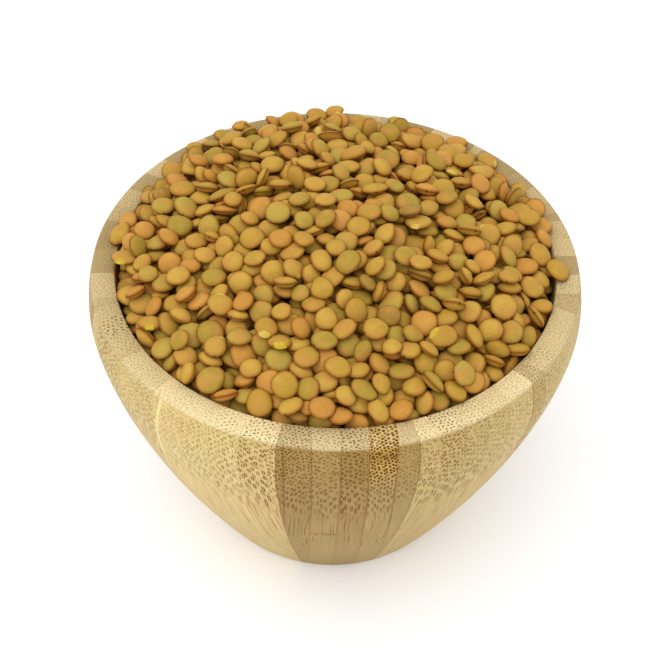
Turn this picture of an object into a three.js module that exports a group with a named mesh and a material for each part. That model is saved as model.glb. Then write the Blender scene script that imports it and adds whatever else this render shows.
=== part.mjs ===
// A small turned bamboo bowl, heaped with dry lentils.
// Millimetres, +Z up. The origin is the centre of the bowl's flat foot.
import * as THREE from "three";
import { mergeVertices } from "three/addons/utils/BufferGeometryUtils.js";

// The bowl's outside: a flank that steepens towards its widest ring, then a shoulder that turns in.
const BOWL_HEIGHT = 80;
const FOOT_RADIUS = 35;
const FOOT_EDGE = 1.5;
const WIDEST_RADIUS = 60;
const WIDEST_HEIGHT = 70.5;
const FLANK_POWER = 1.43;
const SHOULDER_RADIUS = 58.7;

// The flat rim, with its softly rounded outer edge.
const RIM_OUTER_RADIUS = 57.9;
const RIM_INNER_RADIUS = 53;
const RIM_EDGE = 1;

// The bowl's hollow.
const FLOOR_HEIGHT = 8;
const FLOOR_RADIUS = 30;
const FLOOR_CORNER = 6;
const HOLLOW_POWER = 1.7;

// The lentils' heap: level with the rim at the wall, domed in the middle, fuller at the back.
const HEAP_GAP = 0.3;
const HEAP_EDGE_HEIGHT = 78.6;
const HEAP_CROWN_HEIGHT = 94;
const HEAP_BACK_RISE = 2.5;
const HEAP_DOME_POWER = 2.2;

// One lentil, and how the top layer lies.
const LENTIL_DIAMETER = 5.8;
const LENTIL_THICKNESS = 2.8;
const LENTIL_COUNT = 300;
const LENTIL_LIFT = 0.7;
const LENTIL_TILT = 0.2;
const GOLDEN_ANGLE = Math.PI * (3 - Math.sqrt(5));

// Facets.
const BOWL_SEGMENTS = 60;
const HEAP_SEGMENTS = 90;
const FLANK_STEPS = 12;
const SHOULDER_STEPS = 3;
const CORNER_STEPS = 3;
const BOWL_HOLLOW_STEPS = 7;
const HEAP_WALL_STEPS = 4;
const HEAP_RINGS = 23;

const BAMBOO = { color: 0xd8bf8b, roughness: 0.55, metalness: 0 };
const LENTIL_SKIN = { color: 0xb89a5c, roughness: 0.6, metalness: 0 };

// Points up a flank from height low to height high, both ends included. The whole flank runs from
// bottom to top, and is the more upright near its top the greater its power.
function flankPoints(low, high, bottom, top, power, steps) {
  const points = [];
  for (let i = 0; i <= steps; i++) {
    const z = low + ((high - low) * i) / steps;
    const depth = (top.y - z) / (top.y - bottom.y);
    const radius = top.x - (top.x - bottom.x) * Math.pow(depth, power);
    points.push(new THREE.Vector2(radius, z));
  }
  return points;
}

// A rounded corner between two points, without its first point.
function cornerPoints(from, corner, to) {
  const curve = new THREE.QuadraticBezierCurve(from, corner, to);
  return curve.getPoints(CORNER_STEPS).slice(1);
}

// The bowl's outside from the axis at the foot to the rim's inner edge.
function outsideOutline() {
  const widest = new THREE.Vector2(WIDEST_RADIUS, WIDEST_HEIGHT);
  const foot = new THREE.Vector2(FOOT_RADIUS, 0);
  const flank = flankPoints(FOOT_EDGE, WIDEST_HEIGHT, foot, widest, FLANK_POWER, FLANK_STEPS);
  const footFlat = new THREE.Vector2(FOOT_RADIUS - FOOT_EDGE, 0);
  const shoulderTop = BOWL_HEIGHT - RIM_EDGE;
  const shoulder = [];
  for (let i = 1; i <= SHOULDER_STEPS; i++) {
    const rise = i / SHOULDER_STEPS;
    const radius = WIDEST_RADIUS - (WIDEST_RADIUS - SHOULDER_RADIUS) * rise * rise;
    const z = WIDEST_HEIGHT + (shoulderTop - WIDEST_HEIGHT) * rise;
    shoulder.push(new THREE.Vector2(radius, z));
  }
  const rimOuter = new THREE.Vector2(RIM_OUTER_RADIUS, BOWL_HEIGHT);
  const rimCorner = new THREE.Vector2(SHOULDER_RADIUS - RIM_EDGE / 4, BOWL_HEIGHT);
  return [
    new THREE.Vector2(0, 0),
    footFlat,
    ...cornerPoints(footFlat, foot, flank[0]),
    ...flank.slice(1),
    ...shoulder,
    ...cornerPoints(shoulder[SHOULDER_STEPS - 1], rimCorner, rimOuter),
    new THREE.Vector2(RIM_INNER_RADIUS, BOWL_HEIGHT),
  ];
}

// The hollow from the axis at the floor up to height high, drawn in by gap on every side.
function hollowOutline(high, gap, steps) {
  const mouth = new THREE.Vector2(RIM_INNER_RADIUS, BOWL_HEIGHT);
  const floorEdge = new THREE.Vector2(FLOOR_RADIUS, FLOOR_HEIGHT);
  const low = FLOOR_HEIGHT + FLOOR_CORNER;
  const flank = flankPoints(low, high, floorEdge, mouth, HOLLOW_POWER, steps);
  const floorFlat = new THREE.Vector2(FLOOR_RADIUS - FLOOR_CORNER, FLOOR_HEIGHT);
  const outline = [
    new THREE.Vector2(0, FLOOR_HEIGHT),
    floorFlat,
    ...cornerPoints(floorFlat, floorEdge, flank[0]),
    ...flank.slice(1),
  ];
  return outline.map((p) => new THREE.Vector2(Math.max(p.x - gap, 0), Math.min(p.y + gap, high)));
}

// A closed surface of revolution about Z, with every shared vertex merged.
function turned(outline, segments) {
  const geometry = new THREE.LatheGeometry(outline, segments);
  geometry.deleteAttribute("normal");
  geometry.deleteAttribute("uv");
  geometry.rotateX(Math.PI / 2);
  return mergeVertices(geometry, 1e-3);
}

function bowlGeometry() {
  const inside = hollowOutline(BOWL_HEIGHT, 0, BOWL_HOLLOW_STEPS).reverse();
  return turned([...outsideOutline(), ...inside.slice(1)], BOWL_SEGMENTS);
}

// The smooth heap's height at x, y.
function domeHeight(x, y) {
  const out = Math.min(Math.hypot(x, y) / RIM_INNER_RADIUS, 1);
  const edge = HEAP_EDGE_HEIGHT + HEAP_BACK_RISE * Math.max(y / RIM_INNER_RADIUS, 0);
  return edge + (HEAP_CROWN_HEIGHT - edge) * (1 - Math.pow(out, HEAP_DOME_POWER));
}

// The top layer's lentils, spread evenly on a spiral, each lifted and tilted a little differently.
function topLentils() {
  const lentils = [];
  for (let i = 0; i < LENTIL_COUNT; i++) {
    const radius = (RIM_INNER_RADIUS - LENTIL_DIAMETER / 2) * Math.sqrt((i + 0.5) / LENTIL_COUNT);
    const angle = i * GOLDEN_ANGLE;
    const x = radius * Math.cos(angle);
    const y = radius * Math.sin(angle);
    const lift = LENTIL_LIFT * Math.sin(7.3 * i);
    lentils.push({
      x,
      y,
      z: domeHeight(x, y) + lift,
      slopeX: LENTIL_TILT * Math.sin(3.1 * i + 1),
      slopeY: LENTIL_TILT * Math.cos(5.7 * i),
    });
  }
  return lentils;
}

// The uneven heap's height at x, y: the highest lentil there, or the gap between lentils.
function heapHeight(x, y, lentils) {
  const half = LENTIL_DIAMETER / 2;
  let height = domeHeight(x, y) - LENTIL_LIFT;
  for (const lentil of lentils) {
    const dx = x - lentil.x;
    const dy = y - lentil.y;
    const off = (dx * dx + dy * dy) / (half * half);
    if (off < 1) {
      const cap = (LENTIL_THICKNESS / 2) * (1 - off);
      height = Math.max(height, lentil.z + cap + dx * lentil.slopeX + dy * lentil.slopeY);
    }
  }
  return height;
}

function heapGeometry() {
  const wall = hollowOutline(HEAP_EDGE_HEIGHT, HEAP_GAP, HEAP_WALL_STEPS);
  const edge = wall[wall.length - 1];
  const top = [];
  for (let i = 1; i <= HEAP_RINGS; i++) {
    top.push(new THREE.Vector2(edge.x * (1 - i / HEAP_RINGS), BOWL_HEIGHT));
  }
  const geometry = turned([...wall, ...top], HEAP_SEGMENTS);
  const lentils = topLentils();
  const position = geometry.attributes.position;
  for (let i = 0; i < position.count; i++) {
    if (position.getZ(i) > HEAP_EDGE_HEIGHT) {
      position.setZ(i, heapHeight(position.getX(i), position.getY(i), lentils));
    }
  }
  return geometry;
}

function piece(name, geometry, look) {
  const mesh = new THREE.Mesh(geometry, new THREE.MeshStandardMaterial(look));
  mesh.name = name;
  return mesh;
}

const lentilBowl = new THREE.Group();
lentilBowl.add(piece("bamboo_bowl", bowlGeometry(), BAMBOO));
lentilBowl.add(piece("lentil_heap", heapGeometry(), LENTIL_SKIN));

export default lentilBowl;
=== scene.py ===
import math
import random

import bmesh
import bpy
from mathutils import Matrix, Vector, noise


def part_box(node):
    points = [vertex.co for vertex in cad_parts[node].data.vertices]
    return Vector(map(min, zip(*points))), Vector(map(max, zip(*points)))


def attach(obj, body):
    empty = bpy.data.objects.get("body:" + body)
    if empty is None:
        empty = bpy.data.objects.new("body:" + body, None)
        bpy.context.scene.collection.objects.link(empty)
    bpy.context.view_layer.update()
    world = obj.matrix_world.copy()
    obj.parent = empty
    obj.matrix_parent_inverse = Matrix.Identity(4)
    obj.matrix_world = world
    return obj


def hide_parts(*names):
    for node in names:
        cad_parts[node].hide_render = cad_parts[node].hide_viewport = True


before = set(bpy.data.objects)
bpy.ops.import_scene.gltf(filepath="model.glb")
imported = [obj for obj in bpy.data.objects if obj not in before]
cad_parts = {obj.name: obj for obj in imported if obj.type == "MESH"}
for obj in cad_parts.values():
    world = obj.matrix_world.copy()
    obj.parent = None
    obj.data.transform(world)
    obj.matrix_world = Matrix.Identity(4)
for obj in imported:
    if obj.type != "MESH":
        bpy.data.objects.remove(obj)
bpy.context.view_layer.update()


# ---------------------------------------------------------------------------------------------
# The bowl. Twelve bamboo staves, each glued up from strips about 6 mm wide, are mitred together
# into a cone, and the cone is turned inside and out, so the rim and the shoulder cut across the
# fibres and the flank runs along them. It is sanded smooth and thinly oiled.
# ---------------------------------------------------------------------------------------------

scene = bpy.context.scene
MM = 0.001

bowl_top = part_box("bamboo_bowl")[1]
BOWL_HEIGHT = bowl_top.z
WIDEST_RADIUS = bowl_top.x
WIDEST_HEIGHT = 70.5 * MM
FLANK_POWER = 1.43
FOOT_RADIUS = 35 * MM
FOOT_EDGE = 1.5 * MM
SHOULDER_RADIUS = 58.7 * MM
RIM_OUTER_RADIUS = 57.9 * MM
RIM_INNER_RADIUS = 53 * MM
RIM_EDGE = 1 * MM
MOUTH_EDGE = 0.25 * MM
FLOOR_HEIGHT = 8 * MM
FLOOR_RADIUS = 30 * MM
FLOOR_CORNER = 6 * MM
HOLLOW_POWER = 1.7

TURN_STEPS = 144
FLANK_STEPS = 36
SHOULDER_STEPS = 10
HOLLOW_STEPS = 24
FOOT_STEPS = 5
EDGE_STEPS = 6
MERGE_WITHIN = 0.01 * MM


def flank(low, high, bottom, top, power, steps):
    """Points up a wall from height low to high, on a curve that stands up as it nears its top."""
    points = []
    for i in range(steps + 1):
        z = low + (high - low) * i / steps
        depth = (top[1] - z) / (top[1] - bottom[1])
        points.append((top[0] - (top[0] - bottom[0]) * depth**power, z))
    return points


def rounded(start, corner, end, steps):
    """A rounded corner from start to end, without its first point."""
    points = []
    for i in range(1, steps + 1):
        t = i / steps
        weights = ((1 - t) ** 2, 2 * t * (1 - t), t**2)
        points.append(tuple(sum(w * p[k] for w, p in zip(weights, (start, corner, end))) for k in (0, 1)))
    return points


def hollow_outline(high):
    """The hollow's wall from the axis at the floor up to height high."""
    mouth = (RIM_INNER_RADIUS, BOWL_HEIGHT)
    floor_edge = (FLOOR_RADIUS, FLOOR_HEIGHT)
    wall = flank(FLOOR_HEIGHT + FLOOR_CORNER, high, floor_edge, mouth, HOLLOW_POWER, HOLLOW_STEPS)
    floor_flat = (FLOOR_RADIUS - FLOOR_CORNER, FLOOR_HEIGHT)
    corner = rounded(floor_flat, floor_edge, wall[0], EDGE_STEPS)
    return [(0, FLOOR_HEIGHT), floor_flat, *corner, *wall[1:]]


def bowl_outline():
    """The bowl from the axis at the foot, up the flank, over the rim and down the hollow."""
    foot = (FOOT_RADIUS, 0)
    foot_flat = (FOOT_RADIUS - FOOT_EDGE, 0)
    widest = (WIDEST_RADIUS, WIDEST_HEIGHT)
    side = flank(FOOT_EDGE, WIDEST_HEIGHT, foot, widest, FLANK_POWER, FLANK_STEPS)
    shoulder = []
    shoulder_top = BOWL_HEIGHT - RIM_EDGE
    for i in range(1, SHOULDER_STEPS + 1):
        rise = i / SHOULDER_STEPS
        radius = WIDEST_RADIUS - (WIDEST_RADIUS - SHOULDER_RADIUS) * rise**2
        shoulder.append((radius, WIDEST_HEIGHT + (shoulder_top - WIDEST_HEIGHT) * rise))
    rim_outer = (RIM_OUTER_RADIUS, BOWL_HEIGHT)
    rim_corner = (SHOULDER_RADIUS - RIM_EDGE / 4, BOWL_HEIGHT)
    mouth_top = (RIM_INNER_RADIUS + MOUTH_EDGE, BOWL_HEIGHT)
    inside = hollow_outline(BOWL_HEIGHT - MOUTH_EDGE)[::-1]
    return [
        (0, 0), foot_flat, *rounded(foot_flat, foot, side[0], FOOT_STEPS), *side[1:], *shoulder,
        *rounded(shoulder[-1], rim_corner, rim_outer, EDGE_STEPS), mouth_top, *inside,
    ]


def spun(outline, steps, merge_within):
    """An outline of radii and heights, spun once round the axis, with its seam and poles closed."""
    form = bmesh.new()
    points = [form.verts.new((radius, 0, z)) for radius, z in outline]
    edges = [form.edges.new(pair) for pair in zip(points, points[1:])]
    bmesh.ops.spin(form, geom=points + edges, cent=(0, 0, 0), axis=(0, 0, 1), angle=math.tau,
                   steps=steps, use_merge=True)
    bmesh.ops.remove_doubles(form, verts=form.verts, dist=merge_within)
    bmesh.ops.recalc_face_normals(form, faces=form.faces)
    return form


def mesh_of(name, form):
    mesh = bpy.data.meshes.new(name)
    form.to_mesh(mesh)
    form.free()
    return mesh


def placed(name, form):
    """The form as a piece in the scene."""
    piece = bpy.data.objects.new(name, mesh_of(name, form))
    scene.collection.objects.link(piece)
    return piece


def turned(name, outline, steps):
    """A smooth piece turned on the bowl's axis."""
    form = spun(outline, steps, MERGE_WITHIN)
    for face in form.faces:
        face.smooth = True
    return placed(name, form)


def tint(red, green, blue):
    """A colour given as it looks, 0 to 255, in the linear light that a surface takes."""
    linear = [((c / 255 + 0.055) / 1.055) ** 2.4 if c > 10 else c / 255 / 12.92 for c in (red, green, blue)]
    return (*linear, 1)


class Finish:
    """A procedural finish: one Principled surface, and short ways to add the nodes that feed it."""

    def __init__(self, name):
        self.material = bpy.data.materials.new(name)
        self.material.use_nodes = True
        self.tree = self.material.node_tree
        self.surface = self.tree.nodes["Principled BSDF"]

    def feed(self, socket, value):
        if isinstance(value, bpy.types.NodeSocket):
            self.tree.links.new(value, socket)
        else:
            socket.default_value = value

    def node(self, kind, inputs=None, **settings):
        node = self.tree.nodes.new("ShaderNode" + kind)
        for name, value in settings.items():
            setattr(node, name, value)
        for name, value in (inputs or {}).items():
            self.feed(node.inputs[name], value)
        return node.outputs

    def math(self, operation, *values):
        return self.node("Math", dict(enumerate(values)), operation=operation)[0]

    def plus(self, first, second):
        return self.math("ADD", first, second)

    def minus(self, first, second):
        return self.math("SUBTRACT", first, second)

    def rest(self, value):
        return self.math("SUBTRACT", 1.0, value)

    def times(self, first, second):
        return self.math("MULTIPLY", first, second)

    def times_plus(self, first, second, third):
        return self.math("MULTIPLY_ADD", first, second, third)

    def over(self, first, second):
        return self.math("DIVIDE", first, second)

    def larger(self, first, second):
        return self.math("MAXIMUM", first, second)

    def smaller(self, first, second):
        return self.math("MINIMUM", first, second)

    def floor(self, value):
        return self.math("FLOOR", value)

    def size(self, value):
        return self.math("ABSOLUTE", value)

    def vector(self, operation, *values):
        return self.node("VectorMath", dict(enumerate(values)), operation=operation)[0]

    def length(self, vector):
        return self.node("VectorMath", {0: vector}, operation="LENGTH")["Value"]

    def distance(self, vector, point):
        return self.node("VectorMath", {0: vector, 1: point}, operation="DISTANCE")["Value"]

    def rotated(self, vector, angle):
        """The vector turned about the z axis."""
        inputs = {"Vector": vector, "Angle": angle}
        return self.node("VectorRotate", inputs, rotation_type="Z_AXIS")[0]

    def scaled(self, vector, factor):
        return self.node("VectorMath", {0: vector, "Scale": factor}, operation="SCALE")[0]

    def split(self, vector):
        return self.node("SeparateXYZ", {0: vector})

    def join(self, x, y, z):
        return self.node("CombineXYZ", {0: x, 1: y, 2: z})[0]

    def ramp(self, value, low, high, to_low=0.0, to_high=1.0):
        """value carried smoothly from the range low..high to the range to_low..to_high."""
        inputs = {0: value, 1: low, 2: high, 3: to_low, 4: to_high}
        return self.node("MapRange", inputs, interpolation_type="SMOOTHSTEP")[0]

    def draw(self, vector):
        """Three random numbers, which are always the same ones for the same vector."""
        return self.node("TexWhiteNoise", {"Vector": vector}, noise_dimensions="3D")["Color"]

    def cloud(self, vector, stretch=None, **inputs):
        """Soft noise from 0 to 1 at the vector, which stretch first scales along each axis."""
        if stretch:
            vector = self.vector("MULTIPLY", vector, stretch)
        return self.node("TexNoise", {"Vector": vector, "Scale": 1.0, **inputs})["Fac"]

    def relief(self, height, strength, distance):
        """Makes the surface look raised where height is large."""
        inputs = {"Strength": strength, "Distance": distance, "Height": height}
        self.feed(self.surface.inputs["Normal"], self.node("Bump", inputs)["Normal"])

    def blend(self, factor, first, second):
        return self.node("Mix", {0: factor, 2: first, 3: second}, data_type="FLOAT")[0]

    def mix(self, factor, first, second):
        return self.node("Mix", {0: factor, 6: first, 7: second}, data_type="RGBA")[2]

    def lookup(self, number, first, values):
        """The one of the values for a whole number, which is first for the first of them."""
        node = self.tree.nodes.new("ShaderNodeValToRGB")
        steps = node.color_ramp
        steps.interpolation = "CONSTANT"
        steps.elements.remove(steps.elements[1])
        steps.elements[0].color = (values[0], values[0], values[0], 1)
        for i, value in enumerate(values[1:], 1):
            steps.elements.new(i / len(values)).color = (value, value, value, 1)
        self.feed(node.inputs[0], self.over(self.plus(number, 0.5 - first), len(values)))
        return node.outputs["Color"]


# The staves, of which the front one is number 0, and how their fibres lean outward as they rise.
STAVES = 12
STAVE_TURN = math.tau / STAVES
FIRST_STAVE = -5
FIRST_SEAM = math.radians(-11.3)
FIBRE_LEAN = 0.35
FIBRE_BEND_HEIGHT = 48
FIBRE_BEND = 0.00178
FIBRE_BEND_POWER = 2.4

# For each stave: how brown it is, how pale its end grain is (which also paints the rim's sheen,
# paler in the front staves and darker at the back), and how its strips are laid out.
STAVE_TONES = (0.8, 0.8, 0.85, 0.25, 0.05, 0.85, 0.4, 0.36, 0.6, 0.75, 0.8, 0.8)
STAVE_FROST_SHEENS = (0.2, 0.15, 0.15, 0.35, 1.0, 0.5, 1.0, 0.45, 0.15, 0.0, 0.15, 0.15)
STRIP_WIDTHS = (6.4, 7.0, 8.6, 6.6, 7.15, 6.12, 5.9, 6.7, 6.5, 7.0, 6.2, 6.6)
STRIP_STARTS = (4.4, 2.0, 3.85, 3.0, -0.1, 4.49, 1.3, 2.63, 5.5, 3.0, 0.2, 4.1)
STRIP_LOT = 9

# The strips of the five front staves, a row for each stave: how dark a strip is, how bold its
# fibre bundles are, the share of it where they crowd, their spacing, and how pale its end grain is,
# which also paints the rim's sheen.
FRONT_STAVES = 2
FRONT_STRIPS = 6
FIRST_STRIP = -3
FIRST_FRONT = -FRONT_STAVES * FRONT_STRIPS
FRONT_TONES = (
    0.5, 0.65, 0.6, 0.45, 0.45, 0.45,
    0.4, 0.35, 0.4, 0.4, 0.9, 0.8,
    0.85, 0.6, 1.0, 0.5, 0.55, 0.55,
    0.65, 0.75, 0.65, 0.5, 0.35, 0.3,
    0.9, 0.5, 0.4, 0.4, 0.5, 0.5,
)
FRONT_MARKS = (
    0.6, 0.95, 0.75, 0.6, 0.65, 0.65,
    0.5, 0.5, 0.6, 0.75, 0.95, 0.95,
    1.1, 0.85, 1.05, 1.3, 0.7, 0.7,
    0.75, 1.0, 0.8, 0.65, 0.55, 0.6,
    1.0, 0.75, 0.6, 0.55, 0.65, 0.65,
)
FRONT_CROWDS = (
    0.15, 0.1, 0.1, 0.12, 0.1, 0.1,
    0.05, 0.1, 0.1, 0.14, 0.12, 0.2,
    0.25, 0.05, 0.2, 1.0, 0.08, 0.1,
    0.1, 0.25, 0.1, 0.1, 0.15, 0.1,
    0.85, 0.2, 0.15, 0.15, 0.1, 0.1,
)
FRONT_SPACINGS = (
    1.2, 1.5, 1.3, 1.1, 1.1, 1.1,
    1.1, 1.1, 1.15, 1.25, 1.35, 1.1,
    0.9, 1.05, 1.12, 1.0, 0.95, 0.95,
    1.2, 1.05, 1.15, 1.1, 1.2, 1.2,
    1.0, 1.2, 1.1, 1.15, 1.1, 1.1,
)
FRONT_FROST_SHEENS = (
    0.2, 0.25, 0.3, 0.5, 0.5, 0.5,
    0.8, 0.8, 0.85, 1.0, 1.0, 1.0,
    0.4, 0.63, 0.45, 0.5, 0.5, 0.5,
    0.95, 0.9, 0.8, 0.7, 0.85, 0.9,
    0.3, 0.47, 0.45, 0.38, 0.1, 0.1,
)

# Flaws: one wide pale joint, a node of the cane, and a torn strip. The strips of the front stave
# are counted from 0.
PALE_JOINT = -1
PALE_JOINT_LEAN = 0.12
PALE_JOINT_LEVEL = 61
NODE_STRIP = 1
NODE_HEIGHT = 39.5
NODE_WAVER = 3.0
TORN_STRIP = 3
TEAR_HEIGHT = 77
TEAR_WAVER = 2.5

# The fibre bundles, in millimetres or as shares of their spacing.
LOOSE_SPACING = 1.35
CLOSE_SPACING = 1.1
CROWDED_SPACING = 0.87
RIM_SPACING_SHARE = 0.5
RIM_SPACING_MORE = 0.4
BUNDLE_ROWS = math.radians(40)
BUNDLE_ROW_STEP = 0.87
BUNDLE_SHAKE = 0.42
BUNDLE_RING = 0.2
RIM_DOT = 0.32
CROWDED_DOT = 0.36
PACKED_DOT = 0.5
PACKED_SHARE = 0.9
STREAK_SQUEEZE = 0.35
BOLDEST_STREAK = 0.85

# The heights, in millimetres, between which each change in the looks comes about.
RIM_LEVELS = (78.7, 79.6)
STREAK_LEVELS = (48.0, 57.0)
STREAK_END_LEVELS = (60.0, 84.0)
SOLID_LEVELS = (62.0, 74.0)
PACKED_LEVELS = (66.0, 77.0)
PALE_JOINT_LEVELS = (44.0, 58.0)
MARK_COLOUR_LEVELS = (50.0, 64.0)
GLUE_LEVELS = (20.0, 50.0)
FOOT_SHADE_LEVELS = (15.0, 65.0)

# How fine each kind of grain is: cycles per millimetre across the stave, outward and up.
WANDER_GRAIN = (0.1, 0.1, 0.04)
WANDER_REACH = (3.0, 0.5, 40.0)
WANDER_LOT = 3.7
GRAIN_LOT = 31.0
PATCH_GRAIN = (0.35, 0.35, 0.07)
BREAK_GRAIN = (1.5, 0.2, 0.08)
SOFT_GRAIN = (1.4, 1.4, 0.05)
BLUSH_GRAIN = (0.12, 0.12, 0.03)
FINE_GRAIN = (4.0, 4.0, 0.15)
FROST_GRAIN = 4.5

BAMBOO_GLOSS = 0.1
BAMBOO_CREAM = tint(230, 207, 145)
BAMBOO_HONEY = tint(203, 176, 110)
BAMBOO_BROWN = tint(150, 121, 61)
BAMBOO_PINK = tint(200, 160, 108)
BAMBOO_GOLD = tint(214, 170, 80)
BAMBOO_FOOT_SHADE = tint(156, 132, 84)
RIM_SHEEN_CREAM = tint(242, 217, 156)
RIM_SHADED_TAN = tint(176, 153, 108)
FROST_AND_GLINT_WHITE = tint(250, 236, 196)
BUNDLE_BROWN = tint(96, 56, 0)
STREAK_RED = tint(146, 72, 20)
STREAK_BROWN = tint(106, 64, 4)
GLUE_BROWN = tint(120, 84, 40)
GLUE_PALE = tint(236, 222, 160)


def stave_place(finish):
    """Where a point lies in its stave, in millimetres: x across the stave, y out from a fibre that
    leans outward as it rises, z up. Also the stave's number, how far it is past its nearest seam,
    and that seam's number."""
    place = finish.scaled(finish.node("TexCoord")["Object"], 1 / MM)
    x, y, z = finish.split(place)
    turn = finish.math("ARCTAN2", x, finish.times(y, -1.0))
    turn = finish.over(finish.minus(turn, FIRST_SEAM), STAVE_TURN)
    number = finish.floor(turn)
    middle = finish.times_plus(finish.plus(number, 0.5), STAVE_TURN, FIRST_SEAM)
    across, inward, _ = finish.split(finish.rotated(place, finish.times(middle, -1.0)))
    above = finish.larger(finish.minus(z, FIBRE_BEND_HEIGHT), 0.0)
    bend = finish.times(finish.math("POWER", above, FIBRE_BEND_POWER), FIBRE_BEND)
    lean = finish.times_plus(z, FIBRE_LEAN, bend)
    out = finish.times(finish.plus(inward, lean), -1.0)
    joint = finish.floor(finish.plus(turn, 0.5))
    past = finish.times(finish.minus(turn, joint), STAVE_TURN)
    past = finish.times(past, finish.length(finish.join(x, y, 0.0)))
    number = finish.math("WRAP", number, FIRST_STAVE + STAVES, FIRST_STAVE)
    return finish.join(across, out, z), number, past, joint


def bundles(finish, grain, spacing, dot_size, solid, squeeze):
    """How dark the fibre bundles are, in diagonal rows: rings where solid is 0, and filled dots of
    the given size where it is 1. Where a cut runs along them, they are drawn out into streaks,
    which squeeze makes narrower."""
    rows = finish.scaled(finish.rotated(grain, BUNDLE_ROWS), finish.over(1.0, spacing))
    along, up, _ = finish.split(rows)
    up = finish.over(up, BUNDLE_ROW_STEP)
    row = finish.floor(up)
    along = finish.times_plus(row, 0.5, along)
    column = finish.floor(along)
    shake_along, shake_up, depth = finish.split(finish.draw(finish.join(column, row, 0.0)))
    nearest = 0.5 - BUNDLE_SHAKE / 2
    off_along = finish.minus(along, column)
    off_along = finish.minus(off_along, finish.times_plus(shake_along, BUNDLE_SHAKE, nearest))
    off_up = finish.minus(up, row)
    off_up = finish.minus(off_up, finish.times_plus(shake_up, BUNDLE_SHAKE, nearest))
    off = finish.join(off_along, finish.times(off_up, BUNDLE_ROW_STEP), 0.0)

    # A bundle's ring is two dark half moons, which are faint where they nearly meet.
    sideways, outward, _ = finish.split(finish.rotated(off, -BUNDLE_ROWS))
    moon = finish.ramp(finish.size(sideways), 0.0, 0.16, 0.45, 1.0)
    off_ring = finish.size(finish.minus(finish.length(off), BUNDLE_RING))
    ring = finish.times(finish.ramp(off_ring, 0.06, 0.15, 1.0, 0.0), moon)
    far = finish.length(finish.join(finish.times(sideways, squeeze), outward, 0.0))
    dot = finish.ramp(far, finish.times(dot_size, 0.45), dot_size, 1.0, 0.0)
    shape = finish.times_plus(finish.minus(dot, ring), solid, ring)
    return finish.times(shape, finish.ramp(depth, 0.0, 0.7, 0.62, 1.05))


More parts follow.
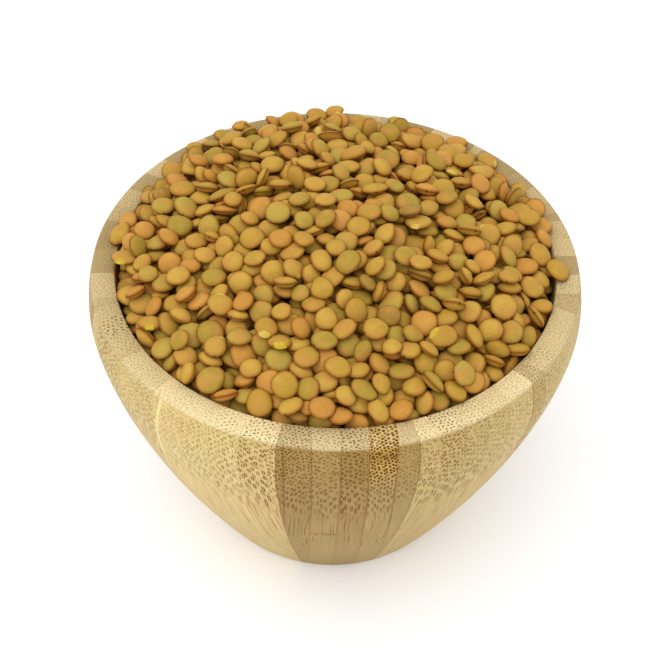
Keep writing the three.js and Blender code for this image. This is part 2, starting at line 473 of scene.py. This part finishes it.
def bamboo_finish():
    finish = Finish("oiled_bamboo")
    finish.surface.inputs["Specular IOR Level"].default_value = BAMBOO_GLOSS
    place, stave, past_seam, joint = stave_place(finish)
    across, _, height = finish.split(place)
    rim = finish.ramp(height, *RIM_LEVELS)
    off_rim = finish.rest(rim)
    streaky = finish.ramp(height, *STREAK_LEVELS, 1.0, 0.0)

    # The strips of each stave, numbered across it. In the front staves their looks are listed, and
    # in the others they are drawn by lot.
    width = finish.lookup(stave, FIRST_STAVE, STRIP_WIDTHS)
    start = finish.lookup(stave, FIRST_STAVE, STRIP_STARTS)
    strips = finish.over(finish.minus(across, start), width)
    strip = finish.floor(strips)
    part = finish.minus(strips, strip)
    edge = finish.times(finish.smaller(part, finish.rest(part)), width)
    name = finish.join(stave, strip, STRIP_LOT)
    tone, bold, crowd = finish.split(finish.draw(name))
    front = finish.math("COMPARE", stave, 0.0, FRONT_STAVES + 0.5)
    in_stave = finish.larger(finish.minus(strip, FIRST_STRIP), 0.0)
    in_stave = finish.smaller(in_stave, FRONT_STRIPS - 1.0)
    place_in_front = finish.times_plus(stave, FRONT_STRIPS, in_stave)
    tone = finish.times_plus(tone, 0.5, 0.25)
    spacing = finish.ramp(tone, 0.25, 0.75, LOOSE_SPACING, CLOSE_SPACING)
    spacing = finish.blend(front, spacing, finish.lookup(place_in_front, FIRST_FRONT, FRONT_SPACINGS))
    tone = finish.blend(front, tone, finish.lookup(place_in_front, FIRST_FRONT, FRONT_TONES))
    crowd = finish.times(crowd, 0.22)
    crowd = finish.blend(front, crowd, finish.lookup(place_in_front, FIRST_FRONT, FRONT_CROWDS))
    flipped = finish.math("GREATER_THAN", bold, 0.5)
    bold = finish.times_plus(bold, 0.45, 0.35)
    bold = finish.blend(front, bold, finish.lookup(place_in_front, FIRST_FRONT, FRONT_MARKS))
    stave_tone = finish.lookup(stave, FIRST_STAVE, STAVE_TONES)

    # One side of a strip lay under the cane's skin, where the fibre bundles crowd together.
    side = finish.size(finish.minus(flipped, part))
    side = finish.blend(front, side, part)
    crowded = finish.ramp(finish.plus(crowd, side), 0.98, 1.02)
    packed = finish.math("GREATER_THAN", crowd, PACKED_SHARE)
    packed = finish.times(packed, finish.ramp(height, *PACKED_LEVELS))

    # Fibres wander a little along their length, and each strip has a grain of its own.
    slow = finish.vector("MULTIPLY_ADD", place, WANDER_GRAIN, finish.scaled(name, WANDER_LOT))
    wander = finish.node("TexNoise", {"Vector": slow, "Scale": 1.0, "Detail": 1.0})["Color"]
    wander = finish.vector("SUBTRACT", wander, (0.5, 0.5, 0.5))
    wander = finish.vector("MULTIPLY", wander, WANDER_REACH)
    grain = finish.vector("ADD", place, wander)
    grain = finish.vector("ADD", grain, finish.scaled(name, GRAIN_LOT))
    patch = finish.cloud(grain, PATCH_GRAIN)
    breaks = finish.cloud(grain, BREAK_GRAIN)
    soft = finish.cloud(grain, SOFT_GRAIN, Detail=3.0)
    blush = finish.cloud(place, BLUSH_GRAIN, Detail=1.0)
    fine = finish.cloud(grain, FINE_GRAIN)

    # The fibre bundles: rings on the shoulder, filled dots on the rim, and streaks on the flank,
    # which end and break off here and there.
    loose = finish.times_plus(spacing, RIM_SPACING_SHARE, RIM_SPACING_MORE)
    loose = bundles(finish, grain, finish.blend(rim, spacing, loose), RIM_DOT, rim, 1.0)
    solid = finish.larger(streaky, finish.ramp(height, *SOLID_LEVELS))
    squeeze = finish.times_plus(streaky, STREAK_SQUEEZE, 1.0)
    dot_size = finish.blend(packed, CROWDED_DOT, PACKED_DOT)
    close = bundles(finish, grain, CROWDED_SPACING, dot_size, solid, squeeze)
    close = finish.times(close, finish.blend(packed, 0.8, 1.0))
    mark = finish.blend(finish.larger(crowded, streaky), loose, close)
    patch = finish.plus(patch, finish.times_plus(bold, 0.3, -0.25))
    mark = finish.times(mark, finish.ramp(patch, 0.3, 0.48, 0.6, 1.0))
    ends = finish.ramp(finish.times_plus(patch, 75.0, height), *STREAK_END_LEVELS, 0.03, 1.0)
    mark = finish.times(mark, ends)
    broken = finish.ramp(breaks, 0.42, 0.55, 0.12, 1.1)
    mark = finish.times(mark, finish.blend(streaky, 1.0, broken))
    drawn = finish.blend(streaky, bold, finish.smaller(bold, BOLDEST_STREAK))
    mark = finish.times(mark, finish.blend(rim, drawn, finish.ramp(bold, 0.45, 1.25, 0.28, 1.0)))
    mark = finish.smaller(mark, 1.0)

    # The pale ground between the bundles: a tone for each stave and strip, and long soft grain.
    base = finish.mix(finish.times(tone, 0.8), BAMBOO_CREAM, BAMBOO_HONEY)
    deep = finish.times(stave_tone, finish.times_plus(tone, 0.5, 0.6))
    base = finish.mix(finish.ramp(deep, 0.0, 1.0), base, BAMBOO_BROWN)
    base = finish.mix(finish.ramp(soft, 0.35, 0.7, 0.0, 0.35), base, BAMBOO_BROWN)
    # Darker towards the foot: painted shade, which holds back the light that the pale floor throws up onto
    # the lower flank.
    base = finish.mix(finish.ramp(height, *FOOT_SHADE_LEVELS, 0.4, 0.0), base, BAMBOO_FOOT_SHADE)
    base = finish.mix(finish.ramp(blush, 0.45, 0.65, 0.0, 0.15), base, BAMBOO_PINK)
    base = finish.mix(finish.ramp(fine, 0.45, 0.75, 0.0, 0.2), base, BAMBOO_CREAM)

    # Glue lines, between strips and between staves. They are faint in pale staves and near the foot.
    tight = finish.smaller(crowd, 0.3)
    line = finish.ramp(edge, 0.05, finish.plus(tight, 0.2), finish.plus(tight, 0.35), 0.0)
    line = finish.times(line, finish.ramp(stave_tone, 0.3, 0.85, 0.25, 1.0))
    line = finish.times(line, finish.ramp(height, *GLUE_LEVELS, 0.3, 1.0))
    base = finish.mix(line, base, GLUE_BROWN)
    pale_joint = finish.math("COMPARE", joint, PALE_JOINT, 0.5)
    seam = finish.ramp(finish.size(past_seam), 0.05, 0.25, 0.6, 0.0)
    base = finish.mix(finish.times(seam, finish.rest(pale_joint)), base, GLUE_BROWN)

    # One joint is wide and pale. It runs a little aslant, and fades on the flank and at the rim.
    lean = finish.times(finish.minus(height, PALE_JOINT_LEVEL), PALE_JOINT_LEAN)
    off_pale = finish.size(finish.minus(past_seam, lean))
    pale = finish.minus(pale_joint, finish.times(pale_joint, finish.ramp(off_pale, 0.22, 0.58)))
    pale = finish.times(pale, finish.times(finish.ramp(height, *PALE_JOINT_LEVELS), off_rim))
    base = finish.mix(finish.times(pale, 0.62), base, GLUE_PALE)
    mark = finish.times(mark, finish.rest(pale))

    # A node of the cane crosses one front strip.
    off_node = finish.minus(height, finish.times_plus(soft, NODE_WAVER, NODE_HEIGHT - NODE_WAVER / 2))
    node = finish.ramp(finish.size(off_node), 0.3, 1.1, 0.8, 0.0)
    node = finish.times(node, finish.ramp(fine, 0.35, 0.6, 1.0, 0.2))
    node = finish.times(node, finish.math("COMPARE", place_in_front, NODE_STRIP, 0.5))
    mark = finish.larger(mark, node)

    # Another is torn and dark where it meets the rim.
    off_tear = finish.minus(height, finish.times_plus(soft, TEAR_WAVER, TEAR_HEIGHT - TEAR_WAVER / 2))
    off_tear = finish.size(off_tear)
    tear = finish.ramp(off_tear, 0.1, 0.4, 0.9, 0.0)
    tear = finish.larger(tear, finish.ramp(off_tear, 0.5, 2.2, 0.45, 0.0))
    tear = finish.times(tear, finish.ramp(fine, 0.3, 0.5, 1.0, 0.7))
    tear = finish.times(tear, finish.math("COMPARE", place_in_front, TORN_STRIP, 0.5))
    mark = finish.larger(mark, finish.times(tear, off_rim))

    # The rim cuts square across the fibres, and its sanded ends are frosted with pale specks. Its
    # paleness is partly this real frost and partly painted light: lighter on top than the flank, paler
    # in the front staves and tan at the back. The white specks are part frost, part painted glint. A
    # strip that is packed with bundles is golden between them.
    speck = finish.cloud(place, Scale=FROST_GRAIN, Detail=1.0, Roughness=0.6)
    frost_and_sheen = finish.lookup(stave, FIRST_STAVE, STAVE_FROST_SHEENS)
    frost_and_sheen = finish.plus(frost_and_sheen, finish.ramp(tone, 0.25, 0.75, 0.25, -0.25))
    frost_and_sheen = finish.blend(front, frost_and_sheen, finish.lookup(place_in_front, FIRST_FRONT, FRONT_FROST_SHEENS))
    base = finish.mix(finish.times(rim, 0.7), base, finish.mix(frost_and_sheen, RIM_SHADED_TAN, RIM_SHEEN_CREAM))
    base = finish.mix(finish.times(packed, 0.6), base, BAMBOO_GOLD)
    pits = finish.times(rim, finish.ramp(speck, 0.34, 0.48, 0.5, 0.0))
    base = finish.mix(pits, base, GLUE_BROWN)
    frost_and_sheen = finish.times(frost_and_sheen, rim)
    base = finish.mix(finish.times(frost_and_sheen, finish.ramp(speck, 0.5, 0.6)), base, FROST_AND_GLINT_WHITE)

    mark_colour = finish.mix(stave_tone, STREAK_RED, STREAK_BROWN)
    mark_colour = finish.mix(finish.ramp(height, *MARK_COLOUR_LEVELS), mark_colour, BUNDLE_BROWN)
    finish.feed(finish.surface.inputs["Base Color"], finish.mix(mark, base, mark_colour))
    finish.feed(finish.surface.inputs["Roughness"], finish.ramp(fine, 0.3, 0.8, 0.45, 0.62))
    finish.relief(finish.minus(finish.times(fine, 0.25), mark), 0.35, 0.06 * MM)
    return finish.material


bowl = turned("bamboo_bowl_turned", bowl_outline(), TURN_STEPS)
bowl.data.materials.append(bamboo_finish())
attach(bowl, "root")
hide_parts("bamboo_bowl")


# ---------------------------------------------------------------------------------------------
# The bed under the top lentils. It stands for the lentils that can't be seen, and fills the hollow
# up to a few layers below the heap's top; its relief is rough, and its colour is painted shade, as
# dark as the deep gaps between lentils are, not the lentils' own colour.
# ---------------------------------------------------------------------------------------------

HEAP_EDGE_HEIGHT = 78.6 * MM
HEAP_CROWN_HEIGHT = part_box("lentil_heap")[1].z - 2 * MM
HEAP_BACK_RISE = 4 * MM
HEAP_FRONT_DROP = 1.5 * MM
HEAP_DOME_POWER = 2.2
LOOSE_DEPTH = 8.0 * MM
BED_WALL_GAP = 0.4 * MM
BED_RELIEF = 0.9 * MM
BED_LUMPS = 350
BED_STEPS = 30
BED_TURN_STEPS = 96
BED_ROUGHNESS = 0.85
BED_SHADE_DARK = tint(48, 18, 0)
BED_SHADE_LIGHT = tint(88, 46, 6)


def heap_height(x, y):
    """The height of the heap's smooth dome."""
    out = min(math.hypot(x, y) / RIM_INNER_RADIUS, 1)
    edge = HEAP_EDGE_HEIGHT + (HEAP_BACK_RISE if y > 0 else HEAP_FRONT_DROP) * y / RIM_INNER_RADIUS
    return edge + (HEAP_CROWN_HEIGHT - edge) * (1 - out**HEAP_DOME_POWER)


def bed_outline():
    """The bed from the axis at the floor, up the wall and over the top back to the axis."""
    rim = HEAP_EDGE_HEIGHT - LOOSE_DEPTH
    wall = [(max(radius - BED_WALL_GAP, 0), z + BED_WALL_GAP) for radius, z in hollow_outline(rim)]
    edge = wall[-1][0]
    top = []
    for i in range(1, BED_STEPS + 1):
        radius = edge * (1 - i / BED_STEPS)
        top.append((radius, heap_height(radius, 0) - LOOSE_DEPTH))
    return wall + top


def bed_finish():
    finish = Finish("deep_lentils_painted_shade")
    finish.surface.inputs["Roughness"].default_value = BED_ROUGHNESS
    place = finish.scaled(finish.node("TexCoord")["Object"], 1 / MM)
    lump = finish.node("TexVoronoi", {"Vector": place, "Scale": 0.22})["Distance"]
    cloud = finish.cloud(place, Scale=0.5, Detail=3.0)
    # Painted shade: the bed is coloured as dark as the deep gaps between lentils.
    colour = finish.mix(finish.times(lump, cloud), BED_SHADE_LIGHT, BED_SHADE_DARK)
    finish.feed(finish.surface.inputs["Base Color"], colour)
    finish.relief(cloud, 0.6, 0.4 * MM)
    return finish.material


bed = turned("lentil_bed", bed_outline(), BED_TURN_STEPS)
for vertex in bed.data.vertices:
    if vertex.co.z > HEAP_EDGE_HEIGHT - LOOSE_DEPTH + BED_WALL_GAP / 2:
        back = heap_height(vertex.co.x, vertex.co.y) - heap_height(vertex.co.xy.length, 0)
        vertex.co.z += back + BED_RELIEF * noise.noise(vertex.co * BED_LUMPS)
bed.data.materials.append(bed_finish())
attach(bed, "root")
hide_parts("lentil_heap")


# ---------------------------------------------------------------------------------------------
# The loose lentils. Dry seeds about 6 mm across, each a thin lens with a sharp edge, no two quite
# alike. They are poured onto the bed in three goes, and each go settles under its own weight.
# ---------------------------------------------------------------------------------------------

LENTIL_RADIUS = 2.82 * MM
LENTIL_RADIUS_SPREAD = 0.24 * MM
LENTIL_HALF_THICKNESS = 1.3 * MM
LENTIL_THICKNESS_SPREAD = 0.12 * MM
LENTIL_OVAL = 0.05

# A mould has radius 1 and half thickness 1. A lobe is how often round it swells, and how far.
MOULD_COUNT = 8
MOULD_SIDES = 16
MOULD_RINGS = (0.6, 0.88)
MOULD_FULLNESS = 0.69
MOULD_LOBES = ((2, 0.035), (3, 0.022), (4, 0.016), (5, 0.008))
MOULD_BEND = 0.06
MOULD_DENT = 0.09
MOULD_MERGE_WITHIN = 0.001
CONTACT_OUTLINE = ((0, 1), (0.62, 0.7), (1, 0), (0.62, -0.7), (0, -1))
CONTACT_SIDES = 8
CONTACT_SKIN = 0.3 * MM

# What the lentils settle in: its steps round, over the bed and up the wall, the gap that it leaves
# at the bed's edge, and the skirt that it has below the shoulder.
CUP_TURN_STEPS = 48
CUP_BED_STEPS = 12
CUP_WALL_STEPS = 3
CUP_EDGE_GAP = 1.5 * MM
CUP_WALL_LIFT = 2 * MM
CUP_SKIRT_WIDTH = 8 * MM
CUP_SKIRT_DEPTH = 25 * MM

POURS = 3
POUR_COUNT = 425
POUR_FRAMES = 46
POUR_SPACING = 6.6 * MM
POUR_SLIP = 3
POUR_DROP = 3 * MM
POUR_RISE = 4.2 * MM
POUR_RADIUS = 50 * MM
POUR_OVER_BACK = 4.5 * MM
POUR_TILT = 0.5

# The settling runs a hundred times larger, because very small bodies settle badly.
SETTLING_SCALE = 100
SETTLING_SUBSTEPS = 3
SETTLING_ROUNDS = 10
GRIP = 0.55
DRAG = 0.15
SPIN_DRAG = 0.35
STILL_SPEED = 0.3
STILL_SPIN = 0.6

# What is left of the heap: how high above the rim and how steep it is, how far a lentil may lie
# out over the rim at the sides and at the back, and how much of the front is brushed clean.
REST_RISE = 1.7 * MM
REST_EDGE = 1 * MM
REST_SLOPE = 0.65
SIDE_REACH = 0.5 * MM
BACK_REACH = 4.5 * MM
BRUSHED_WIDTH = 1.5 * MM
BRUSHED_BACK = -5 * MM

chance = random.Random(12)


def lentil_mould(number):
    """A lens, a little out of round, bent and dented, whose points keep where they lie in it."""
    wobble = random.Random(number)
    outline = [(0, 1)]
    outline += [(r, (1 - r * r) ** MOULD_FULLNESS) for r in MOULD_RINGS]
    outline += [(1, 0)] + [(r, -z) for r, z in outline[::-1]]
    form = spun(outline, MOULD_SIDES, MOULD_MERGE_WITHIN)
    place = form.verts.layers.float_vector.new("place")
    lobes = [(n, wobble.gauss(0, size), wobble.uniform(0, math.tau)) for n, size in MOULD_LOBES]
    bend = wobble.gauss(0, MOULD_BEND)
    for vertex in form.verts:
        angle = math.atan2(vertex.co.y, vertex.co.x)
        out = vertex.co.xy.length
        vertex[place] = (vertex.co.x, vertex.co.y, out)
        swell = 1 + out * sum(a * math.cos(n * (angle - turn)) for n, a, turn in lobes)
        dent = 1 + MOULD_DENT * noise.noise(vertex.co * 1.3 + Vector((number * 7, 0, 0)))
        vertex.co.x *= swell
        vertex.co.y *= swell
        vertex.co.z = vertex.co.z * dent + bend * vertex.co.x**2
    for face in form.faces:
        face.smooth = True
    for edge in form.edges:
        edge.smooth = min(vertex[place].z for vertex in edge.verts) < 0.99
    return mesh_of(f"lentil_mould_{number}", form)


def put_in_order(mesh):
    """Lists a mesh's faces in one fixed order, so that the lentils settle alike on every run."""
    corners = [vertex.co.copy() for vertex in mesh.vertices]
    faces = []
    for face in mesh.polygons:
        around = list(face.vertices)
        first = around.index(min(around))
        faces.append(around[first:] + around[:first])
    mesh.clear_geometry()
    mesh.from_pydata(corners, [], sorted(faces))


def contact_mould():
    """The plain lens that a lentil settles as."""
    mesh = mesh_of("lentil_contact", spun(CONTACT_OUTLINE, CONTACT_SIDES, MOULD_MERGE_WITHIN))
    put_in_order(mesh)
    return mesh


def container():
    """The bed, the hollow's wall, the rim and the shoulder, as the settling lentils meet them."""
    edge = RIM_INNER_RADIUS - CUP_EDGE_GAP
    floor_edge = (FLOOR_RADIUS, FLOOR_HEIGHT)
    mouth = (RIM_INNER_RADIUS, BOWL_HEIGHT)
    outline = []
    for i in range(CUP_BED_STEPS + 1):
        radius = edge * i / CUP_BED_STEPS
        outline.append((radius, heap_height(radius, 0) - LOOSE_DEPTH))
    low = outline[-1][1] + CUP_WALL_LIFT
    outline += flank(low, BOWL_HEIGHT, floor_edge, mouth, HOLLOW_POWER, CUP_WALL_STEPS)
    outline += [(RIM_OUTER_RADIUS, BOWL_HEIGHT), (SHOULDER_RADIUS, BOWL_HEIGHT - RIM_EDGE)]
    outline.append((WIDEST_RADIUS, WIDEST_HEIGHT))
    outline.append((WIDEST_RADIUS - CUP_SKIRT_WIDTH, WIDEST_HEIGHT - CUP_SKIRT_DEPTH))
    outline = [(radius * SETTLING_SCALE, z * SETTLING_SCALE) for radius, z in outline]
    cup = turned("container", outline, CUP_TURN_STEPS)
    put_in_order(cup.data)
    return cup


def poured_places(count, lift):
    """Places for one pour: loose level layers that follow the dome, from height lift above the bed."""
    places = []
    reach = int(POUR_RADIUS / POUR_SPACING) + 2
    layer = 0
    while len(places) < count:
        turn = Matrix.Rotation(chance.uniform(0, math.tau), 2)
        slip = Vector([chance.uniform(-POUR_SLIP, POUR_SLIP) for _ in range(2)]) * MM
        spots = []
        for column in range(-reach, reach + 1):
            for row in range(-reach, reach + 1):
                grid = Vector((column + 0.5 * (row % 2), row * math.sqrt(0.75))) * POUR_SPACING
                spot = turn @ (grid + slip)
                if spot.length < POUR_RADIUS + POUR_OVER_BACK * max(spot.y / POUR_RADIUS, 0):
                    spots.append(spot)
        chance.shuffle(spots)
        for spot in spots[: count - len(places)]:
            base = heap_height(*spot) - LOOSE_DEPTH + lift
            if spot.length > POUR_RADIUS:
                base = max(base, BOWL_HEIGHT)
            places.append(Vector((*spot, base + POUR_DROP + layer * POUR_RISE)))
        layer += 1
    return places


def random_turn(tilt):
    """A lentil lying about level: spun at random, then tilted a little any way."""
    lean = Matrix.Rotation(chance.gauss(0, tilt), 3, "X")
    heading = Matrix.Rotation(chance.uniform(0, math.tau), 3, "Z")
    spin = Matrix.Rotation(chance.uniform(0, math.tau), 3, "Z")
    return heading @ lean @ spin


def make_solid(bodies, kind, shape):
    """Makes objects take part in the settling, as bodies that move or as ones that stay."""
    bpy.ops.object.select_all(action="DESELECT")
    for body in bodies:
        body.select_set(True)
    bpy.context.view_layer.objects.active = bodies[0]
    bpy.ops.rigidbody.objects_add(type=kind)
    for body in bodies:
        rigid = body.rigid_body
        rigid.collision_shape = shape
        rigid.use_margin = True
        rigid.collision_margin = CONTACT_SKIN * SETTLING_SCALE
        rigid.friction = GRIP
        rigid.restitution = 0
        rigid.linear_damping = DRAG
        rigid.angular_damping = SPIN_DRAG
        rigid.deactivate_linear_velocity = STILL_SPEED
        rigid.deactivate_angular_velocity = STILL_SPIN


def settle(moving, still, cup):
    """Lets the moving lentils fall and come to rest among the still ones."""
    bpy.ops.rigidbody.world_add()
    world = scene.rigidbody_world
    world.enabled = True
    world.substeps_per_frame = SETTLING_SUBSTEPS
    world.solver_iterations = SETTLING_ROUNDS
    world.point_cache.frame_start = 1
    world.point_cache.frame_end = POUR_FRAMES
    scene.frame_set(1)
    make_solid(moving, "ACTIVE", "CONVEX_HULL")
    make_solid([cup], "PASSIVE", "MESH")
    if still:
        make_solid(still, "PASSIVE", "CONVEX_HULL")
    for step in range(1, POUR_FRAMES + 1):
        scene.frame_set(step)
    settled = bpy.context.evaluated_depsgraph_get()
    rests = [body.evaluated_get(settled).matrix_world.copy() for body in moving]
    bpy.ops.rigidbody.world_remove()
    scene.frame_set(1)
    for body, rest in zip(moving, rests):
        body.matrix_world = rest


def pour_lentils():
    """Pours and settles every lentil, and returns where each lies and its half sizes, in metres."""
    contact = contact_mould()
    cup = container()
    scene.frame_end = POUR_FRAMES
    bodies = []
    sizes = []
    for pour in range(POURS):
        fresh = []
        for place in poured_places(POUR_COUNT, pour * LOOSE_DEPTH / POURS):
            radius = chance.gauss(LENTIL_RADIUS, LENTIL_RADIUS_SPREAD)
            oval = 1 + chance.uniform(-LENTIL_OVAL, LENTIL_OVAL)
            half = chance.gauss(LENTIL_HALF_THICKNESS, LENTIL_THICKNESS_SPREAD)
            size = Vector((radius * oval, radius / oval, half))
            body = bpy.data.objects.new("settling_lentil", contact)
            skinned = (size - Vector((CONTACT_SKIN,) * 3)) * SETTLING_SCALE
            lie = Matrix.Translation(place * SETTLING_SCALE) @ random_turn(POUR_TILT).to_4x4()
            body.matrix_world = lie @ Matrix.Diagonal((*skinned, 1))
            scene.collection.objects.link(body)
            fresh.append(body)
            sizes.append(size)
        settle(fresh, bodies, cup)
        bodies += fresh
    bpy.context.view_layer.update()
    rests = []
    for body, size in zip(bodies, sizes):
        place, turn, _ = body.matrix_world.decompose()
        rests.append((place / SETTLING_SCALE, turn, size))
        bpy.data.objects.remove(body)
    bpy.data.objects.remove(cup)
    return rests


def stays(place):
    """Lentils that rolled off are gone, none are piled steeply at the rim, and the rim's front was
    brushed clean."""
    out = place.xy.length
    if place.z > BOWL_HEIGHT + REST_RISE + REST_SLOPE * max(RIM_INNER_RADIUS + REST_EDGE - out, 0):
        return False
    reach = SIDE_REACH + BACK_REACH * max(place.y / RIM_INNER_RADIUS, 0)
    if place.z < HEAP_EDGE_HEIGHT - LOOSE_DEPTH or out > RIM_INNER_RADIUS + reach:
        return False
    return out < RIM_INNER_RADIUS - BRUSHED_WIDTH or place.y > BRUSHED_BACK


def joined_lentils(name, rests, moulds):
    """One mesh of many lentils. Each carries a random tone, and its own frame as an attribute."""
    form = bmesh.new()
    tone = form.verts.layers.float.new("tone")
    form.verts.layers.float_vector.new("place")
    for place, turn, size in rests:
        first = len(form.verts)
        form.from_mesh(chance.choice(moulds))
        form.verts.ensure_lookup_table()
        fresh = form.verts[first:]
        lie = Matrix.Translation(place) @ turn.to_matrix().to_4x4() @ Matrix.Diagonal((*size, 1))
        bmesh.ops.transform(form, matrix=lie, verts=fresh)
        value = chance.random()
        for vertex in fresh:
            vertex[tone] = value
    return placed(name, form)


SKIN_GLOSS = 0.12
SKIN_EDGE_SHADE = tint(96, 44, 4)
SCAR_BROWN = tint(84, 46, 16)
KERNEL_YELLOW = tint(188, 160, 20)
KERNEL_CREAM = tint(210, 180, 88)
FLUSH_PEACH = tint(192, 138, 66)
SCAR_PLACE = (0.99, 0.0, 1.0)
CHIP_PLACE = (-0.78, 0.4, 0.88)


def skin_finish(name, pale, deep, margin_and_shade, chips):
    """A dry seed skin: pale or deep from lentil to lentil, flushed on one side, browner at its thin
    edge, with a small scar there. The brown and the dark line at the thin edge are partly the seed's
    own, partly painted shade of the gaps between lentils. Where it is chipped, the yellow kernel
    shows."""
    finish = Finish(name)
    finish.surface.inputs["Specular IOR Level"].default_value = SKIN_GLOSS
    place = finish.node("Attribute", attribute_name="place")["Vector"]
    tone = finish.node("Attribute", attribute_name="tone")["Fac"]
    out = finish.split(place)[2]
    here = finish.scaled(finish.node("TexCoord")["Object"], 1 / MM)
    cloud = finish.cloud(here, Scale=0.45, Detail=3.0)
    fine = finish.cloud(here, Scale=4.0, Detail=4.0)
    own = finish.vector("ADD", finish.scaled(place, 0.7), finish.scaled((17.0, 29.0, 41.0), tone))
    flush = finish.cloud(own, Detail=1.0)
    shade = finish.plus(tone, finish.ramp(cloud, 0.3, 0.7, -0.3, 0.3))
    colour = finish.mix(finish.ramp(shade, 0.0, 1.0), pale, deep)
    colour = finish.mix(finish.ramp(flush, 0.42, 0.68, 0.0, 0.75), colour, FLUSH_PEACH)
    # Browner towards the thin edge, with a dark line at it: partly the seed's own, partly painted shade
    # where lentils meet.
    colour = finish.mix(finish.ramp(out, 0.76, 1.0, 0.0, 0.75), colour, margin_and_shade)
    colour = finish.mix(finish.ramp(fine, 0.55, 0.75, 0.0, 0.3), colour, margin_and_shade)
    colour = finish.mix(finish.ramp(out, 0.92, 1.0, 0.0, 0.65), colour, SKIN_EDGE_SHADE)
    scar = finish.ramp(finish.distance(place, SCAR_PLACE), 0.06, 0.16, 0.85, 0.0)
    colour = finish.mix(scar, colour, SCAR_BROWN)
    relief = finish.plus(fine, finish.times(cloud, 2.0))
    if chips:
        ragged = finish.times_plus(finish.cloud(here, Scale=0.8), 0.5, -0.25)
        chip = finish.plus(finish.distance(place, CHIP_PLACE), finish.times_plus(tone, -0.3, ragged))
        chip = finish.ramp(chip, 0.2, 0.34, 0.95, 0.0)
        kernel = finish.mix(finish.ramp(cloud, 0.35, 0.6), KERNEL_YELLOW, KERNEL_CREAM)
        colour = finish.mix(chip, colour, kernel)
        relief = finish.minus(relief, finish.times(chip, 2.0))
    finish.feed(finish.surface.inputs["Base Color"], colour)
    finish.feed(finish.surface.inputs["Roughness"], finish.ramp(fine, 0.3, 0.7, 0.5, 0.7))
    finish.relief(relief, 0.35, 0.05 * MM)
    return finish.material


# Each kind's share of the lentils, and its pale, deep and thin-edge colours. The thin-edge colour
# is partly the seed's own browner edge and mottling, partly painted shade of the gaps.
KINDS = {
    "khaki": (0.455, tint(196, 157, 66), tint(180, 141, 53), tint(154, 98, 20)),
    "olive": (0.295, tint(180, 153, 66), tint(165, 136, 51), tint(142, 96, 20)),
    "peach": (0.16, tint(202, 148, 68), tint(189, 134, 55), tint(156, 92, 20)),
    "chipped": (0.065, tint(190, 151, 64), tint(178, 137, 52), tint(150, 94, 20)),
    "dull": (0.025, tint(166, 131, 58), tint(150, 113, 44), tint(116, 76, 16)),
}

rests = [rest for rest in pour_lentils() if stays(rest[0])]
moulds = [lentil_mould(number) for number in range(MOULD_COUNT)]
chance.shuffle(rests)
taken = 0
for kind, (share, pale, deep, margin_and_shade) in KINDS.items():
    count = math.ceil(share * len(rests))
    picked = rests[taken:taken + count]
    taken += count
    lentils = joined_lentils(f"lentils_{kind}", picked, moulds)
    skin = skin_finish(f"lentil_skin_{kind}", pale, deep, margin_and_shade, kind == "chipped")
    lentils.data.materials.append(skin)
    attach(lentils, "root")
    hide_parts("lentil_heap")


# ---------------------------------------------------------------------------------------------
# The table, the light and the camera: a plain pale floor under a wide soft light from above, seen
# from the front and above with the camera turned a little about its own axis.
# ---------------------------------------------------------------------------------------------

FLOOR_SIZE = 3
FLOOR_TINT = tint(250, 250, 252)
FLOOR_GLOW = 0.15
FLOOR_ROUGHNESS = 0.9
SOFTBOX_PLACE = Vector((-0.2, -0.2, 0.75))
SOFTBOX_AIM = Vector((0, 0, 0.08))
SOFTBOX_SIZE = 0.8
SOFTBOX_POWER = 2.4
ROOM_LIGHT = 0.92
CAMERA_PLACE = Vector((0.35, -221.9, 285.2)) * MM
CAMERA_PITCH = math.radians(46.33)
CAMERA_ROLL = math.radians(1.49)
IMAGE_SIDE = 671
FOCAL_PIXELS = 1250
SENSOR = 36
NEAREST_SEEN = 10 * MM

form = bmesh.new()
bmesh.ops.create_grid(form, x_segments=8, y_segments=8, size=FLOOR_SIZE / 2)
floor = placed("floor", form)
floor_finish = Finish("pale_floor")
floor_finish.surface.inputs["Roughness"].default_value = FLOOR_ROUGHNESS
floor_finish.surface.inputs["Base Color"].default_value = FLOOR_TINT
floor_finish.surface.inputs["Emission Color"].default_value = FLOOR_TINT
floor_finish.surface.inputs["Emission Strength"].default_value = FLOOR_GLOW
floor.data.materials.append(floor_finish.material)

light = bpy.data.lights.new("softbox", "AREA")
light.shape = "DISK"
light.size = SOFTBOX_SIZE
light.energy = SOFTBOX_POWER
softbox = bpy.data.objects.new("softbox", light)
softbox.location = SOFTBOX_PLACE
softbox.rotation_euler = (SOFTBOX_AIM - SOFTBOX_PLACE).to_track_quat("-Z", "Y").to_euler()
scene.collection.objects.link(softbox)

room = bpy.data.worlds.new("studio")
room.use_nodes = True
room.node_tree.nodes["Background"].inputs["Color"].default_value = (1, 1, 1, 1)
room.node_tree.nodes["Background"].inputs["Strength"].default_value = ROOM_LIGHT
scene.world = room
scene.view_settings.view_transform = "Standard"

lens = bpy.data.cameras.new("camera")
lens.sensor_width = SENSOR
lens.lens = SENSOR * FOCAL_PIXELS / IMAGE_SIDE
lens.clip_start = NEAREST_SEEN
camera = bpy.data.objects.new("camera", lens)
tilt = Matrix.Rotation(math.pi / 2 - CAMERA_PITCH, 4, "X")
camera.matrix_world = Matrix.Translation(CAMERA_PLACE) @ tilt @ Matrix.Rotation(CAMERA_ROLL, 4, "Z")
scene.collection.objects.link(camera)
scene.camera = camera
